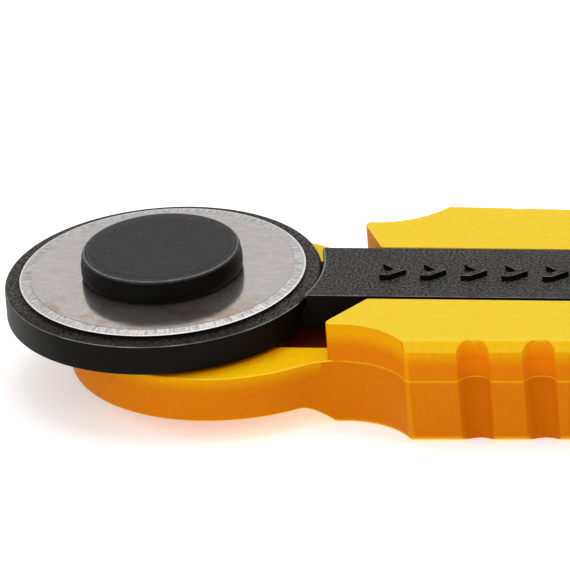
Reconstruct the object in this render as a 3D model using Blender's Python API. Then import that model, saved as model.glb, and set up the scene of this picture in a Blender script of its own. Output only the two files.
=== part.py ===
"""Small rotary cutter: a round blade on a bolt, with a sliding guard in a moulded handle.

Lengths are in millimetres here and become metres as vertices are made.
The model frame has the bolt's axis as Z, the blade's mid-plane as Z = 0, and +X towards the tail.
The empty frame_origin then carries everything to the frame of the finished part.
"""

import math

import bmesh
import bpy
from mathutils import Vector

MM = 0.001
GAP = 0.3

# Blade, bolt and cap
BLADE_RADIUS = 14.0
BLADE_THICKNESS = 0.3
BEVEL_WIDTH = 1.07
BLADE_HOLE_RADIUS = 4.05
CAP_RADIUS = 7.9
CAP_TOP = 2.7
BOLT_RADIUS = 2.5
BOLT_FLAT = 2.0
THREAD_RADIUS = 2.0
THREAD_PITCH = 0.7
BUSH_FLANGE_RADIUS = 5.0
BUSH_COLLAR_RADIUS = 3.75

# Guard and slide arm
GUARD_RADIUS = 15.5
GUARD_TOP = -0.45
GUARD_BOTTOM = -3.5
ARM_FRONT_RADIUS = 15.9
ARM_HALF_WIDTH = 5.24
ARM_TOP = 0.24
ARM_END = 76.0
TRAVEL = 6.2
LUG_STARTS = (26.0, 62.0)
LUG_LENGTH = 6.0
LUG_HALF_WIDTH = 7.8
PAD_START = 52.0
PAD_END = 66.0
PAD_RIDGES = 6

# Handle
HEAD_RADIUS = 15.6
HEAD_CENTRE_X = 6.1
HEAD_TOP = -3.8
HEAD_BOTTOM = -8.45
WAIST_HALF_WIDTH = 11.2
WAIST_X = 19.3
GRIP_TOP = 0.15
GRIP_BOTTOM = -10.5
GRIP_START_X = 15.5
CORNER = (26.35, 15.35)
RAIL_OUTER = (18.0, 10.8)
RAIL_INNER_X = 21.2
TAIL_RADIUS = 12.45
OVERALL_LENGTH = 150.0
CHANNEL_HALF_WIDTH = 5.6
CHANNEL_END = 84.0
RECESS_START = 12.0
RECESS_HALF_WIDTH = 8.45
RECESS_FLOOR = -5.8
GROOVE_FIRST_X = 32.95
GROOVE_PITCH = 6.4
GROOVE_COUNT = 5
GROOVE_RADIUS = 1.65
GROOVE_DEPTH = 1.15
HANG_HOLE_RADIUS = 3.5
POCKET_RADIUS = 7.0
POCKET_TOP = -6.7

# Detent spring
SPRING_BUMP_X = 48.0
SPRING_THICKNESS = 0.3
RIVET_X = 38.0

TAIL_X = OVERALL_LENGTH - GUARD_RADIUS
TAIL_CENTRE_X = TAIL_X - TAIL_RADIUS


# ---- Outlines: lists of (x, y) points, counter-clockwise ----

def arc(centre, radius, start, end, steps):
    """Points on an arc between two angles in degrees, both ends included."""
    points = []
    for step in range(steps + 1):
        angle = math.radians(start + (end - start) * step / steps)
        points.append((centre[0] + radius * math.cos(angle), centre[1] + radius * math.sin(angle)))
    return points


def mirrored(upper):
    """Closes a half outline, given from front to back on the +Y side, with its mirror image."""
    lower = [(x, -y) for x, y in upper if abs(y) > 1e-6]
    return lower + upper[::-1]


def rectangle(x_low, x_high, y_low, y_high):
    return [(x_low, y_low), (x_high, y_low), (x_high, y_high), (x_low, y_high)]


def circle(radius, centre=(0.0, 0.0), steps=64):
    return arc(centre, radius, 0, 360, steps)[:-1]


def waist_arcs(from_x):
    """The +Y side of the waist, from where it reaches from_x to the grip's corner."""
    front_radius = waist_front_radius()
    front_centre = (WAIST_X, WAIST_HALF_WIDTH + front_radius)
    back_radius = waist_back_radius()
    back_centre = (WAIST_X, WAIST_HALF_WIDTH + back_radius)
    start = -90 - math.degrees(math.asin((WAIST_X - from_x) / front_radius))
    end = -90 + math.degrees(math.asin((CORNER[0] - WAIST_X) / back_radius))
    return arc(front_centre, front_radius, start, -90, 8)[:-1] + arc(back_centre, back_radius, -90, end, 10)


def waist_front_radius():
    """Radius of the arc that touches the head's circle and has its lowest point at the waist."""
    across = WAIST_X - HEAD_CENTRE_X
    rise = WAIST_HALF_WIDTH
    return (across ** 2 + rise ** 2 - HEAD_RADIUS ** 2) / (2 * (HEAD_RADIUS - rise))


def waist_back_radius():
    """Radius of the arc from the waist's lowest point up to the grip's corner."""
    across = CORNER[0] - WAIST_X
    rise = CORNER[1] - WAIST_HALF_WIDTH
    return (across ** 2 + rise ** 2) / (2 * rise)


def tail_side():
    """The +Y side of the tail, from the end of the grip's straight side to its tip."""
    taper = math.degrees(math.atan2(CORNER[1] - TAIL_RADIUS, TAIL_CENTRE_X - CORNER[0]))
    return arc((TAIL_CENTRE_X, 0.0), TAIL_RADIUS, 90 - taper, 0, 20)


def grip_outline(from_x):
    return mirrored(waist_arcs(from_x) + tail_side())


def head_outline(to_x):
    """The round head with the waist behind it, cut off square at to_x inside the grip."""
    front_radius = waist_front_radius()
    reach = HEAD_RADIUS + front_radius
    meeting = math.degrees(math.acos((WAIST_X - HEAD_CENTRE_X) / reach))
    head = arc((HEAD_CENTRE_X, 0.0), HEAD_RADIUS, 180, meeting, 36)
    meeting_x = HEAD_CENTRE_X + HEAD_RADIUS * math.cos(math.radians(meeting))
    waist = [point for point in waist_arcs(meeting_x)[1:] if point[0] < to_x]
    return mirrored(head + waist)


def inset(outline, distance):
    """The outline moved inwards by a distance, corner by corner."""
    moved = []
    count = len(outline)
    for index, (x, y) in enumerate(outline):
        before = Vector(outline[index - 1])
        here = Vector((x, y))
        after = Vector(outline[(index + 1) % count])
        normal_in = inward_normal(before, here)
        normal_out = inward_normal(here, after)
        mitre = (normal_in + normal_out).normalized()
        reach = distance / max(0.5, mitre.dot(normal_in))
        moved.append((x + mitre.x * reach, y + mitre.y * reach))
    return moved


def inward_normal(start, end):
    along = (end - start).normalized()
    return Vector((-along.y, along.x))


# ---- Meshes ----

def clear_scene():
    for old in list(bpy.data.objects):
        bpy.data.objects.remove(old)


def make_material(name, colour, roughness, metallic=0.0):
    material = bpy.data.materials.new(name)
    material.use_nodes = True
    shader = material.node_tree.nodes["Principled BSDF"]
    shader.inputs["Base Color"].default_value = (*colour, 1.0)
    shader.inputs["Roughness"].default_value = roughness
    shader.inputs["Metallic"].default_value = metallic
    return material


def new_object(name, mesh_data, smooth_angle=35):
    """Turns a bmesh in millimetres into an object that hangs from the frame's empty."""
    bmesh.ops.recalc_face_normals(mesh_data, faces=mesh_data.faces[:])
    bmesh.ops.scale(mesh_data, vec=(MM, MM, MM), verts=mesh_data.verts[:])
    mesh = bpy.data.meshes.new(name)
    mesh_data.to_mesh(mesh)
    mesh_data.free()
    mesh.shade_smooth()
    mesh.set_sharp_from_angle(angle=math.radians(smooth_angle))
    piece = bpy.data.objects.new(name, mesh)
    bpy.context.scene.collection.objects.link(piece)
    piece.parent = bpy.data.objects["frame_origin"]
    return piece


def bridge(mesh_data, rings):
    """Joins rings of equal length into a closed strip of quads."""
    for lower, upper in zip(rings, rings[1:]):
        count = len(lower)
        for index in range(count):
            after = (index + 1) % count
            mesh_data.faces.new((lower[index], lower[after], upper[after], upper[index]))


def loft(name, levels):
    """A solid between level outlines, each an (outline, z) pair with the same number of points."""
    mesh_data = bmesh.new()
    rings = []
    for outline, z in levels:
        rings.append([mesh_data.verts.new((x, y, z)) for x, y in outline])
    bridge(mesh_data, rings)
    mesh_data.faces.new(rings[0][::-1])
    mesh_data.faces.new(rings[-1])
    return new_object(name, mesh_data)


def prism(name, outline, low, high):
    return loft(name, [(outline, low), (outline, high)])


def rounded_prism(name, outline, low, high, low_edge, high_edge):
    """A prism whose bottom and top edges are cut back at 45 degrees."""
    return loft(name, [
        (inset(outline, low_edge), low),
        (outline, low + low_edge),
        (outline, high - high_edge),
        (inset(outline, high_edge), high),
    ])


def turned(name, profile, steps=64):
    """A solid of revolution about Z. A profile that touches the axis closes there, another is a ring."""
    mesh_data = bmesh.new()
    spokes = []
    for step in range(steps):
        angle = 2 * math.pi * step / steps
        spoke = []
        for radius, z in profile:
            if radius == 0 and step > 0:
                spoke.append(spokes[0][len(spoke)])
            else:
                spoke.append(mesh_data.verts.new((radius * math.cos(angle), radius * math.sin(angle), z)))
        spokes.append(spoke)
    count = len(profile)
    for step in range(steps):
        here = spokes[step]
        after = spokes[(step + 1) % steps]
        for index in range(count):
            follow = (index + 1) % count
            corners = (here[index], here[follow], after[follow], after[index])
            distinct = list(dict.fromkeys(corners))
            if len(distinct) > 2:
                mesh_data.faces.new(distinct)
    return new_object(name, mesh_data)


def section_along_y(name, section, half_width):
    """A solid with an (x, z) section, extruded from -half_width to +half_width along Y."""
    mesh_data = bmesh.new()
    rings = []
    for y in (-half_width, half_width):
        rings.append([mesh_data.verts.new((x, y, z)) for x, z in section])
    bridge(mesh_data, rings)
    mesh_data.faces.new(rings[0][::-1])
    mesh_data.faces.new(rings[1])
    return new_object(name, mesh_data)


def combine(target, operand, operation):
    """Adds a live Boolean and turns its operand into a hidden construction shape."""
    modifier = target.modifiers.new(operand.name, "BOOLEAN")
    modifier.operation = operation
    modifier.solver = "EXACT"
    modifier.object = operand
    operand.hide_render = True
    operand.display_type = "WIRE"


def cut(target, *cutters):
    for cutter in cutters:
        combine(target, cutter, "DIFFERENCE")


def join(target, *additions):
    for addition in additions:
        combine(target, addition, "UNION")


def finish(piece, material):
    piece.data.materials.clear()
    piece.data.materials.append(material)
    return piece


def double_flat(radius, half_flat, steps=10):
    """A circle with two flats, across Y, as a bolt that can't turn has."""
    limit = math.degrees(math.asin(half_flat / radius))
    right = arc((0.0, 0.0), radius, -limit, limit, steps)
    left = arc((0.0, 0.0), radius, 180 - limit, 180 + limit, steps)
    return right + left


# ---- Handle ----

def ramp_cutter():
    """Slopes the grip's underside up to the head at its front end."""
    section = [
        (GRIP_START_X - 1.0, GRIP_BOTTOM - 1.0),
        (GRIP_START_X + 3.3, GRIP_BOTTOM - 1.0),
        (GRIP_START_X + 2.7, GRIP_BOTTOM),
        (GRIP_START_X + 1.5, GRIP_BOTTOM + 1.1),
        (GRIP_START_X, HEAD_BOTTOM - 0.3),
        (GRIP_START_X - 1.0, HEAD_BOTTOM - 0.3),
    ]
    return section_along_y("ramp_cutter", section, HEAD_RADIUS)


def rail_end_cutter():
    """Clears the space in front of the rails, down to the head's top, with a slanting face on each rail."""
    clear_x = GRIP_START_X - 1.0
    wide = RAIL_OUTER[1] + 3.0
    upper = [(clear_x, wide), (RAIL_OUTER[0], wide), RAIL_OUTER, (RAIL_INNER_X, CHANNEL_HALF_WIDTH)]
    return prism("rail_end_cutter", mirrored(upper), HEAD_TOP, GRIP_TOP + 1.0)


def channel_cutters():
    """The narrow slot between the rails, and the wider recess below it for the arm's lugs."""
    slot_end = arc((CHANNEL_END - CHANNEL_HALF_WIDTH, 0.0), CHANNEL_HALF_WIDTH, 90, 0, 10)
    slot = mirrored([(GRIP_START_X, CHANNEL_HALF_WIDTH)] + slot_end)
    recess = rectangle(RECESS_START, CHANNEL_END - CHANNEL_HALF_WIDTH, -RECESS_HALF_WIDTH, RECESS_HALF_WIDTH)
    return (
        prism("slot_cutter", slot, RECESS_FLOOR, GRIP_TOP + 1.0),
        prism("recess_cutter", recess, RECESS_FLOOR, HEAD_TOP),
    )


def groove_cutters():
    """Upright finger grooves with domed tops along both sides of the grip, one body for each groove."""
    taper = (CORNER[1] - TAIL_RADIUS) / (TAIL_CENTRE_X - CORNER[0])
    cutters = []
    for index in range(GROOVE_COUNT):
        x = GROOVE_FIRST_X + index * GROOVE_PITCH
        wall_y = CORNER[1] - taper * (x - CORNER[0])
        for side in (-1, 1):
            cutter = groove_shape(f"groove_cutter_{index}_{'left' if side > 0 else 'right'}")
            cutter.location = Vector((x, side * (wall_y + GROOVE_RADIUS - GROOVE_DEPTH), 0.0)) * MM
            cutters.append(cutter)
    return cutters


def groove_shape(name):
    dome_z = GRIP_TOP - 1.0 - GROOVE_RADIUS
    dome = [(GROOVE_RADIUS * math.cos(math.radians(a)), dome_z + GROOVE_RADIUS * math.sin(math.radians(a)))
            for a in range(0, 80, 18)]
    profile = [(0.0, GRIP_BOTTOM - 1.0), (GROOVE_RADIUS, GRIP_BOTTOM - 1.0)] + dome
    profile.append((0.0, dome_z + GROOVE_RADIUS))
    return turned(name, profile, 20)


def make_handle(material):
    handle = rounded_prism("handle_body", grip_outline(GRIP_START_X), GRIP_BOTTOM, GRIP_TOP, 1.0, 0.9)
    cut(handle, rail_end_cutter(), ramp_cutter())
    head = rounded_prism("head_shape", head_outline(CORNER[0] - 3.0), HEAD_BOTTOM, HEAD_TOP, 0.6, 0.5)
    join(handle, head)
    bolt_hole = prism("bolt_hole_cutter", double_flat(BOLT_RADIUS + GAP, BOLT_FLAT + GAP), HEAD_BOTTOM - 1, 0)
    pocket = prism("pocket_cutter", circle(POCKET_RADIUS, steps=48), HEAD_BOTTOM - 1, POCKET_TOP)
    hang_hole = prism("hang_hole_cutter", circle(HANG_HOLE_RADIUS, (TAIL_CENTRE_X + 4.0, 0.0), 40),
                      GRIP_BOTTOM - 1, GRIP_TOP + 1)
    rivet_hole = prism("rivet_hole_cutter", circle(1.3, (RIVET_X, 0.0), 20), RECESS_FLOOR - 3, HEAD_TOP)
    cut(handle, *channel_cutters(), bolt_hole, pocket, hang_hole, rivet_hole, *groove_cutters())
    return finish(handle, material)


# ---- Guard and its slide arm ----

def arm_outline():
    """The arm in plan, with a hollow front end that follows the guard's edge."""
    reach = math.degrees(math.asin(ARM_HALF_WIDTH / ARM_FRONT_RADIUS))
    front = arc((0.0, 0.0), ARM_FRONT_RADIUS, reach, -reach, 12)
    back = arc((ARM_END - ARM_HALF_WIDTH, 0.0), ARM_HALF_WIDTH, -90, 90, 16)
    return front + back


def thumb_pad():
    """A ridged rise on the arm, which the thumb pushes against."""
    rise = 2.0
    section = [(PAD_START, ARM_TOP - 1.0)]
    pitch = (PAD_END - PAD_START) / PAD_RIDGES
    section.append((PAD_END + 1.5, ARM_TOP - 1.0))
    section.append((PAD_END + 0.6, ARM_TOP + rise))
    for ridge in range(PAD_RIDGES - 1, -1, -1):
        x = PAD_START + ridge * pitch
        height = ARM_TOP + rise * (0.35 + 0.65 * ridge / (PAD_RIDGES - 1))
        section.append((x + 0.85 * pitch, height))
        section.append((x + 0.45 * pitch, height - 0.3))
        section.append((x + 0.30 * pitch, height - 0.3))
    section.append((PAD_START + 0.1, ARM_TOP + 0.1))
    return section_along_y("thumb_pad_shape", section, ARM_HALF_WIDTH - 0.15)


def chevron(name, x):
    """A raised mark that points towards the tail."""
    back = 1.5
    stroke = 1.15
    half = 1.3
    middle = -0.55
    outline = [
        (x, middle - half), (x + stroke, middle - half), (x + stroke + back, middle),
        (x + stroke, middle + half), (x, middle + half), (x + back, middle),
    ]
    return prism(name, outline, ARM_TOP - 0.5, ARM_TOP + 0.62)


def lug(name, x, side):
    """A leg under the arm's edge with a foot that catches below the rail."""
    outline = rectangle(x, x + LUG_LENGTH, side * 4.0, side * ARM_HALF_WIDTH)
    foot = rectangle(x, x + LUG_LENGTH, side * 4.0, side * LUG_HALF_WIDTH)
    if side < 0:
        outline.reverse()
        foot.reverse()
    leg = prism(name, outline, RECESS_FLOOR + GAP, GUARD_BOTTOM + 1.0)
    return leg, prism(f"{name}_foot", foot, RECESS_FLOOR + GAP, HEAD_TOP - GAP)


def make_guard(material):
    bush_room = BUSH_FLANGE_RADIUS + GAP
    guard = rounded_prism("guard_slider", circle(GUARD_RADIUS, steps=96), GUARD_BOTTOM, GUARD_TOP, 0.3, 0.3)
    neck = prism("neck_shape", rectangle(9.0, 20.0, -ARM_HALF_WIDTH, ARM_HALF_WIDTH),
                 GUARD_BOTTOM + 0.1, GUARD_TOP - 0.05)
    arm = rounded_prism("arm_shape", arm_outline(), GUARD_BOTTOM + 0.1, ARM_TOP, 0.2, 0.2)
    join(guard, neck, arm, thumb_pad())
    join(guard, *[chevron(f"mark_shape_{index}", 21.6 + 4.0 * index) for index in range(6)])
    for index, x in enumerate(LUG_STARTS):
        for side in (-1, 1):
            join(guard, *lug(f"lug_shape_{index}_{side + 1}", x, side))
    slot = arc((-TRAVEL, 0.0), bush_room, 90, 270, 20) + arc((0.0, 0.0), bush_room, -90, 90, 20)
    cut(guard, prism("bush_slot_cutter", slot, GUARD_BOTTOM - 1, GUARD_TOP + 1))
    for index, x in enumerate((SPRING_BUMP_X, SPRING_BUMP_X - TRAVEL)):
        cut(guard, notch_cutter(f"notch_cutter_{index}", x))
    return finish(guard, material)


def notch_cutter(name, x):
    """A shallow groove across the arm's underside for the spring's bump."""
    section = [(x - 1.4, GUARD_BOTTOM - 0.5), (x + 1.4, GUARD_BOTTOM - 0.5), (x + 0.6, GUARD_BOTTOM + 0.6),
               (x - 0.6, GUARD_BOTTOM + 0.6)]
    return section_along_y(name, section, 3.2)


# ---- Blade, bolt and what is on it ----

def make_blade(material):
    half = BLADE_THICKNESS / 2
    bevel_start = BLADE_RADIUS - BEVEL_WIDTH
    profile = [
        (BLADE_HOLE_RADIUS, -half), (bevel_start, -half), (BLADE_RADIUS, -0.02),
        (BLADE_RADIUS, 0.02), (bevel_start, half), (BLADE_HOLE_RADIUS, half),
    ]
    return finish(turned("blade", profile, 96), material)


def make_bush(material):
    under_blade = -BLADE_THICKNESS / 2 - GAP
    profile = [
        (0.0, HEAD_TOP + GAP), (BUSH_FLANGE_RADIUS, HEAD_TOP + GAP), (BUSH_FLANGE_RADIUS, under_blade),
        (BUSH_COLLAR_RADIUS, under_blade), (BUSH_COLLAR_RADIUS, BLADE_THICKNESS / 2), (0.0, BLADE_THICKNESS / 2),
    ]
    bush = turned("blade_bush", profile, 48)
    cut(bush, prism("bush_bore_cutter", double_flat(BOLT_RADIUS + GAP, BOLT_FLAT + GAP), HEAD_TOP, 1.0))
    return finish(bush, material)


def make_cap(material):
    bottom = BLADE_THICKNESS / 2 + GAP
    pocket_radius = 5.8
    pocket_top = CAP_TOP - 0.8
    profile = [
        (0.0, pocket_top), (pocket_radius, pocket_top), (pocket_radius, bottom), (CAP_RADIUS - 0.2, bottom),
        (CAP_RADIUS, bottom + 0.2), (CAP_RADIUS, CAP_TOP - 0.75), (CAP_RADIUS - 0.12, CAP_TOP - 0.4),
        (CAP_RADIUS - 0.35, CAP_TOP - 0.12), (CAP_RADIUS - 0.7, CAP_TOP), (0.0, CAP_TOP),
    ]
    return finish(turned("bolt_cap", profile, 72), material)


def make_bolt(material):
    """The bolt: a round head in the cap, a shank with two flats, and a ringed thread at its foot."""
    head_top = CAP_TOP - 0.8 - GAP
    thread_top = HEAD_BOTTOM + 1.2
    bolt_end = GRIP_BOTTOM + 0.25
    bolt = prism("pivot_bolt", double_flat(BOLT_RADIUS, BOLT_FLAT), thread_top, head_top - 0.5)
    head = prism("bolt_head_shape", circle(5.5, steps=40), BLADE_THICKNESS / 2 + GAP, head_top)
    profile = [(0.0, thread_top + 0.5), (THREAD_RADIUS - 0.35, thread_top + 0.5)]
    turns = int((thread_top - bolt_end) / THREAD_PITCH)
    for turn in range(turns):
        z = thread_top - turn * THREAD_PITCH
        profile.append((THREAD_RADIUS - 0.35, z - 0.08))
        profile.append((THREAD_RADIUS, z - 0.30))
        profile.append((THREAD_RADIUS, z - 0.40))
        profile.append((THREAD_RADIUS - 0.35, z - 0.62))
    profile.append((THREAD_RADIUS - 0.5, bolt_end))
    profile.append((0.0, bolt_end))
    join(bolt, head, turned("bolt_thread_shape", profile, 32))
    return finish(bolt, material)


def make_wave_washer(material):
    """A thin ring that rises and falls three times around."""
    steps = 48
    thickness = 0.3
    wave_height = 0.2
    middle = POCKET_TOP - GAP - wave_height - thickness
    mesh_data = bmesh.new()
    rings = []
    for step in range(steps):
        angle = 2 * math.pi * step / steps
        z = middle + wave_height * math.cos(3 * angle)
        ring = []
        for radius, dz in ((3.0, 0.0), (5.8, 0.0), (5.8, thickness), (3.0, thickness)):
            ring.append(mesh_data.verts.new((radius * math.cos(angle), radius * math.sin(angle), z + dz)))
        rings.append(ring)
    bridge(mesh_data, rings + rings[:1])
    return finish(new_object("wave_washer", mesh_data, 60), material)


def make_plate_washer(material):
    top = POCKET_TOP - GAP - 0.7 - GAP
    bottom = top - 0.5
    profile = [(2.4, bottom), (6.4, bottom), (6.4, top), (2.4, top)]
    return finish(turned("plate_washer", profile, 48), material)


def make_nut(material):
    """A finger nut with a fluted edge, and a hexagonal pocket through it for the insert."""
    top = HEAD_BOTTOM - GAP
    bottom = GRIP_BOTTOM + 0.2
    outline = []
    for step in range(96):
        angle = math.radians(step * 360 / 96)
        radius = 8.6 + 0.35 * math.cos(12 * angle)
        outline.append((radius * math.cos(angle), radius * math.sin(angle)))
    nut = rounded_prism("nut_knob", outline, bottom, top, 0.35, 0.25)
    cut(nut, prism("nut_pocket_cutter", circle(4.0 + GAP, steps=6), bottom - 1, top + 1))
    return finish(nut, material)


def make_nut_insert(material):
    top = HEAD_BOTTOM - GAP
    bottom = GRIP_BOTTOM + 0.2
    insert = prism("nut_insert", circle(4.0, steps=6), bottom, top)
    cut(insert, prism("insert_bore_cutter", circle(THREAD_RADIUS + 0.15, steps=32), bottom - 1, top + 1))
    return finish(insert, material)


# ---- Detent ----

def spring_line():
    """The leaf's lower surface as (x, z) points: flat on the floor, then an arch with its top at the bump."""
    floor = RECESS_FLOOR + GAP
    bump_height = GUARD_BOTTOM - GAP - SPRING_THICKNESS - floor
    line = [(RIVET_X - 2.5, floor), (RIVET_X + 2.5, floor)]
    start = RIVET_X + 2.5
    span = 2 * (SPRING_BUMP_X - start)
    for step in range(1, 17):
        share = step / 16
        line.append((start + span * share, floor + bump_height * math.sin(math.pi * share) ** 2))
    return line


def make_spring(material):
    lower = spring_line()
    upper = [(x, z + SPRING_THICKNESS) for x, z in reversed(lower)]
    spring = section_along_y("detent_spring", lower + upper, 2.5)
    cut(spring, prism("leaf_hole_cutter", circle(1.3, (RIVET_X, 0.0), 20), RECESS_FLOOR, HEAD_TOP))
    return finish(spring, material)


def make_rivet(material):
    head_low = RECESS_FLOOR + GAP + SPRING_THICKNESS + GAP
    profile = [
        (0.0, RECESS_FLOOR - 2.6), (1.0, RECESS_FLOOR - 2.6), (1.0, head_low), (1.7, head_low),
        (1.6, head_low + 0.35), (1.2, head_low + 0.6), (0.0, head_low + 0.7),
    ]
    rivet = finish(turned("detent_rivet", profile, 24), material)
    rivet.location.x = RIVET_X * MM
    return rivet


def make_frame():
    """The empty that puts the underside at Z = 0 and the middle of the length at X = 0."""
    frame = bpy.data.objects.new("frame_origin", None)
    bpy.context.scene.collection.objects.link(frame)
    frame.location = Vector((-(TAIL_X - GUARD_RADIUS) / 2, 0.0, -GRIP_BOTTOM)) * MM


def main():
    clear_scene()
    make_frame()
    yellow_plastic = make_material("yellow_plastic", (0.87, 0.48, 0.03), 0.35)
    black_plastic = make_material("black_plastic", (0.035, 0.035, 0.035), 0.5)
    cap_plastic = make_material("cap_plastic", (0.03, 0.03, 0.03), 0.4)
    blade_steel = make_material("blade_steel", (0.62, 0.60, 0.58), 0.22, 1.0)
    bright_steel = make_material("bright_steel", (0.6, 0.6, 0.6), 0.3, 1.0)
    spring_steel = make_material("spring_steel", (0.45, 0.45, 0.47), 0.35, 1.0)
    brass = make_material("brass", (0.75, 0.55, 0.25), 0.3, 1.0)
    make_handle(yellow_plastic)
    make_guard(black_plastic)
    make_blade(blade_steel)
    make_bush(bright_steel)
    make_cap(cap_plastic)
    make_bolt(bright_steel)
    make_wave_washer(spring_steel)
    make_plate_washer(bright_steel)
    make_nut(cap_plastic)
    make_nut_insert(brass)
    make_spring(spring_steel)
    make_rivet(bright_steel)


main()
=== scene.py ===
import math

import bmesh
import bpy
from mathutils import Matrix, Vector


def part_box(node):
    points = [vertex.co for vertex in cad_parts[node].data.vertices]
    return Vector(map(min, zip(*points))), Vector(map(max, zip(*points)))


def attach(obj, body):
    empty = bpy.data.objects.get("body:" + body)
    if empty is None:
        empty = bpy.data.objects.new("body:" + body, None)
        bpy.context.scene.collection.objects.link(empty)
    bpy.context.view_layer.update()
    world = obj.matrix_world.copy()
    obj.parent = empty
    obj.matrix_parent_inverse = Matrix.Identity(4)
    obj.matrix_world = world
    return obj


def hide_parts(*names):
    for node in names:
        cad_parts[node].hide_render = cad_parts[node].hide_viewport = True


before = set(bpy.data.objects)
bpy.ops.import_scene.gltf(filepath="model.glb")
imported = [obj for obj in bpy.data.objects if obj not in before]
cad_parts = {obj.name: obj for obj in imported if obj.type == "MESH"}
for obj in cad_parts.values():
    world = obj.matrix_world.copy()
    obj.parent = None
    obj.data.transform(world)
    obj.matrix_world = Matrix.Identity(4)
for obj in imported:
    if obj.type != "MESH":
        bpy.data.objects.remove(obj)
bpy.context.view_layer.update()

mm = 0.001
bladeLow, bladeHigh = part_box("blade")
handleLow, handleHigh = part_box("handle_body")
guardLow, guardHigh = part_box("guard_slider")
capLow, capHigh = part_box("bolt_cap")

# every length below is in millimetres from the bolt's axis and the blade's mid-plane
boltX = (bladeLow[0] + bladeHigh[0]) / 2
bladeZ = (bladeLow[2] + bladeHigh[2]) / 2
bladeRadius = (bladeHigh[0] - bladeLow[0]) / 2 / mm
bladeHalfThick = (bladeHigh[2] - bladeLow[2]) / 2 / mm
underside = (handleLow[2] - bladeZ) / mm
gripTop = (handleHigh[2] - bladeZ) / mm
tailX = (handleHigh[0] - boltX) / mm
guardRadius = (boltX - guardLow[0]) / mm
armEnd = (guardHigh[0] - boltX) / mm
capRadius = (capHigh[0] - capLow[0]) / 2 / mm
capTop = (capHigh[2] - bladeZ) / mm
capBottom = (capLow[2] - bladeZ) / mm


def bench(x, y, z):
    return (boltX + x * mm, y * mm, bladeZ + z * mm)


# points and meshes: outlines are lists of (x, y), or (x, y, radius) where a corner is rounded
def arcPoints(centre, radius, start, end, steps):
    points = []
    for step in range(steps + 1):
        angle = math.radians(start + (end - start) * step / steps)
        points.append((centre[0] + radius * math.cos(angle), centre[1] + radius * math.sin(angle)))
    return points


# (1 - cos, 1 - sin) through a quarter turn, to round an edge with
def quarterTurn(steps):
    angles = [math.radians(90 * step / steps) for step in range(steps + 1)]
    return [(1 - math.cos(angle), 1 - math.sin(angle)) for angle in angles]


def linePoints(start, end, spacing):
    steps = max(1, math.ceil(math.dist(start, end) / spacing))
    return [(start[0] + (end[0] - start[0]) * step / steps, start[1] + (end[1] - start[1]) * step / steps)
            for step in range(steps + 1)]


# a polygon's corner turned into a short arc, between the points before and after it
def roundCorner(before, corner, after, radius, steps=5):
    toBefore = (Vector(before) - Vector(corner)).normalized()
    toAfter = (Vector(after) - Vector(corner)).normalized()
    half = toBefore.angle(toAfter) / 2
    reach = radius / math.tan(half)
    start = Vector(corner) + toBefore * reach
    end = Vector(corner) + toAfter * reach
    points = []
    for step in range(steps + 1):
        share = step / steps
        point = start * (1 - share) ** 2 + Vector(corner) * 2 * share * (1 - share) + end * share ** 2
        points.append((point.x, point.y))
    return points


# how far each corner of a counter-clockwise outline moves for one millimetre of inset
def insetDirections(outline):
    directions = []
    count = len(outline)
    for index in range(count):
        before = Vector(outline[index - 1][:2])
        here = Vector(outline[index][:2])
        after = Vector(outline[(index + 1) % count][:2])
        inFirst = (here - before).normalized()
        inSecond = (after - here).normalized()
        firstNormal = Vector((-inFirst.y, inFirst.x))
        secondNormal = Vector((-inSecond.y, inSecond.x))
        mitre = (firstNormal + secondNormal).normalized()
        directions.append(mitre / max(0.6, mitre.dot(firstNormal)))
    return directions


# one level of an upright shape: every outline point moves in, and a point given with a radius then
# becomes a small round corner
def ringAt(outline, directions, inward, z):
    moved = [(point[0] + way.x * inward, point[1] + way.y * inward)
             for point, way in zip(outline, directions)]
    points = []
    for index, place in enumerate(moved):
        if len(outline[index]) == 2:
            points.append((*place, z))
            continue
        after = moved[(index + 1) % len(moved)]
        radius = max(0.08, outline[index][2] - 0.6 * inward)
        points += [(x, y, z) for x, y in roundCorner(moved[index - 1], place, after, radius)]
    return points


def ringFaces(ringCount, size, closed=False):
    faces = []
    for ring in range(ringCount if closed else ringCount - 1):
        low = ring * size
        high = ((ring + 1) % ringCount) * size
        for index in range(size):
            after = (index + 1) % size
            faces.append((low + index, low + after, high + after, high + index))
    return faces


def newObject(name, data):
    thing = bpy.data.objects.new(name, data)
    bpy.context.scene.collection.objects.link(thing)
    return thing


def newPiece(name, points, faces, sharpAngle=35):
    mesh = bpy.data.meshes.new(name)
    mesh.from_pydata([bench(*point) for point in points], [], faces)
    shape = bmesh.new()
    shape.from_mesh(mesh)
    bmesh.ops.recalc_face_normals(shape, faces=shape.faces[:])
    shape.to_mesh(mesh)
    shape.free()
    mesh.shade_smooth()
    mesh.set_sharp_from_angle(angle=math.radians(sharpAngle))
    return newObject(name, mesh)


# a closed solid from rings of equal size, one above another
def stackRings(name, rings):
    size = len(rings[0])
    faces = ringFaces(len(rings), size)
    faces.append(tuple(range(size))[::-1])
    faces.append(tuple(range((len(rings) - 1) * size, len(rings) * size)))
    return newPiece(name, [point for ring in rings for point in ring], faces)


# an upright solid whose bottom and top edges are rounded
def roundedPrism(name, outline, low, high, lowRadius=0.0, highRadius=0.0, steps=5):
    directions = insetDirections(outline)
    turn = quarterTurn(steps)
    lowTurn = turn[::-1] if lowRadius else turn[:1]
    highTurn = turn if highRadius else turn[:1]
    levels = [(lowRadius * inward, low + lowRadius * rise) for inward, rise in lowTurn]
    levels += [(highRadius * inward, high - highRadius * drop) for inward, drop in highTurn]
    return stackRings(name, [ringAt(outline, directions, inward, z) for inward, z in levels])


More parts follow.
